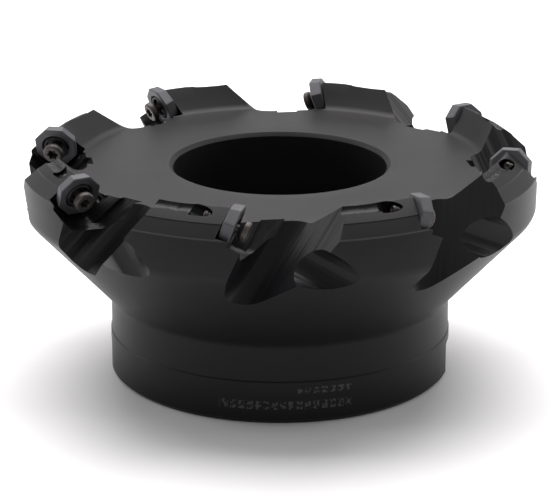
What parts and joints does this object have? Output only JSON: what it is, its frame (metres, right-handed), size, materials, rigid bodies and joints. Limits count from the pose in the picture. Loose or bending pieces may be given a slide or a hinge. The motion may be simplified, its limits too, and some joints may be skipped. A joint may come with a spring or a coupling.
{
  "type": "face mill",
  "caption": "Right-hand 45-degree shell face mill body with octagonal seat shims, hollow shim screws and insert screws; cutting inserts not fitted.",
  "frame": {"origin": "centre of the arbor face, on the cutter's axis", "axes": "+Z along the cutter's axis from the arbor face to the cutting face; -Y is the side nearest the camera"},
  "size_m": [0.1326, 0.1324, 0.0624],
  "materials": {
    "blackened_steel": "black-oxide turned and milled steel",
    "shim_steel": "ground mid-grey steel",
    "shim_screw_steel": "dark oiled steel",
    "insert_screw_steel": "warm grey hardened steel"
  },
  "bodies": {
    "cutter": {"cutter_body": "blackened_steel", "shim_1": "shim_steel", "shim_2": "shim_steel", "shim_3": "shim_steel", "shim_4": "shim_steel", "shim_5": "shim_steel", "shim_6": "shim_steel", "shim_7": "shim_steel", "shim_8": "shim_steel"},
    "shim_screw_1": {"shim_screw_1": "shim_screw_steel"},
    "insert_screw_1": {"insert_screw_1": "insert_screw_steel"},
    "shim_screw_2": {"shim_screw_2": "shim_screw_steel"},
    "insert_screw_2": {"insert_screw_2": "insert_screw_steel"},
    "shim_screw_3": {"shim_screw_3": "shim_screw_steel"},
    "insert_screw_3": {"insert_screw_3": "insert_screw_steel"},
    "shim_screw_4": {"shim_screw_4": "shim_screw_steel"},
    "insert_screw_4": {"insert_screw_4": "insert_screw_steel"},
    "shim_screw_5": {"shim_screw_5": "shim_screw_steel"},
    "insert_screw_5": {"insert_screw_5": "insert_screw_steel"},
    "shim_screw_6": {"shim_screw_6": "shim_screw_steel"},
    "insert_screw_6": {"insert_screw_6": "insert_screw_steel"},
    "shim_screw_7": {"shim_screw_7": "shim_screw_steel"},
    "insert_screw_7": {"insert_screw_7": "insert_screw_steel"},
    "shim_screw_8": {"shim_screw_8": "shim_screw_steel"},
    "insert_screw_8": {"insert_screw_8": "insert_screw_steel"}
  },
  "joints": [
    {"name": "shim_screw_1_turn", "type": "hinge", "parent": "cutter", "child": "shim_screw_1", "pos_m": [0.05005, 0.03363, 0.0568], "axis": [-0.4914, 0.7939, -0.3581], "range_deg": [0, 360]},
    {"name": "insert_screw_1_unscrew", "type": "slide", "parent": "shim_screw_1", "child": "insert_screw_1", "axis": [-0.4914, 0.7939, -0.3581], "range_m": [0, 0.008]},
    {"name": "shim_screw_2_turn", "type": "hinge", "parent": "cutter", "child": "shim_screw_2", "pos_m": [0.01047, 0.05938, 0.0568], "axis": [-0.9128, 0.1964, -0.3581], "range_deg": [0, 360]},
    {"name": "insert_screw_2_unscrew", "type": "slide", "parent": "shim_screw_2", "child": "insert_screw_2", "axis": [-0.9128, 0.1964, -0.3581], "range_m": [0, 0.008]},
    {"name": "shim_screw_3_turn", "type": "hinge", "parent": "cutter", "child": "shim_screw_3", "pos_m": [-0.03389, 0.04987, 0.0568], "axis": [-0.7913, -0.4956, -0.3581], "range_deg": [0, 360]},
    {"name": "insert_screw_3_unscrew", "type": "slide", "parent": "shim_screw_3", "child": "insert_screw_3", "axis": [-0.7913, -0.4956, -0.3581], "range_m": [0, 0.008]},
    {"name": "shim_screw_4_turn", "type": "hinge", "parent": "cutter", "child": "shim_screw_4", "pos_m": [-0.05949, 0.00985, 0.0568], "axis": [-0.1868, -0.9148, -0.3582], "range_deg": [0, 360]},
    {"name": "insert_screw_4_unscrew", "type": "slide", "parent": "shim_screw_4", "child": "insert_screw_4", "axis": [-0.1868, -0.9148, -0.3582], "range_m": [0, 0.008]},
    {"name": "shim_screw_5_turn", "type": "hinge", "parent": "cutter", "child": "shim_screw_5", "pos_m": [-0.05005, -0.03363, 0.0568], "axis": [0.4914, -0.7939, -0.3581], "range_deg": [0, 360]},
    {"name": "insert_screw_5_unscrew", "type": "slide", "parent": "shim_screw_5", "child": "insert_screw_5", "axis": [0.4914, -0.7939, -0.3581], "range_m": [0, 0.008]},
    {"name": "shim_screw_6_turn", "type": "hinge", "parent": "cutter", "child": "shim_screw_6", "pos_m": [-0.01047, -0.05938, 0.0568], "axis": [0.9128, -0.1964, -0.3581], "range_deg": [0, 360]},
    {"name": "insert_screw_6_unscrew", "type": "slide", "parent": "shim_screw_6", "child": "insert_screw_6", "axis": [0.9128, -0.1964, -0.3581], "range_m": [0, 0.008]},
    {"name": "shim_screw_7_turn", "type": "hinge", "parent": "cutter", "child": "shim_screw_7", "pos_m": [0.03389, -0.04987, 0.0568], "axis": [0.7913, 0.4956, -0.3581], "range_deg": [0, 360]},
    {"name": "insert_screw_7_unscrew", "type": "slide", "parent": "shim_screw_7", "child": "insert_screw_7", "axis": [0.7913, 0.4956, -0.3581], "range_m": [0, 0.008]},
    {"name": "shim_screw_8_turn", "type": "hinge", "parent": "cutter", "child": "shim_screw_8", "pos_m": [0.05949, -0.00985, 0.0568], "axis": [0.1868, 0.9148, -0.3582], "range_deg": [0, 360]},
    {"name": "insert_screw_8_unscrew", "type": "slide", "parent": "shim_screw_8", "child": "insert_screw_8", "axis": [0.1868, 0.9148, -0.3582], "range_m": [0, 0.008]}
  ]
}
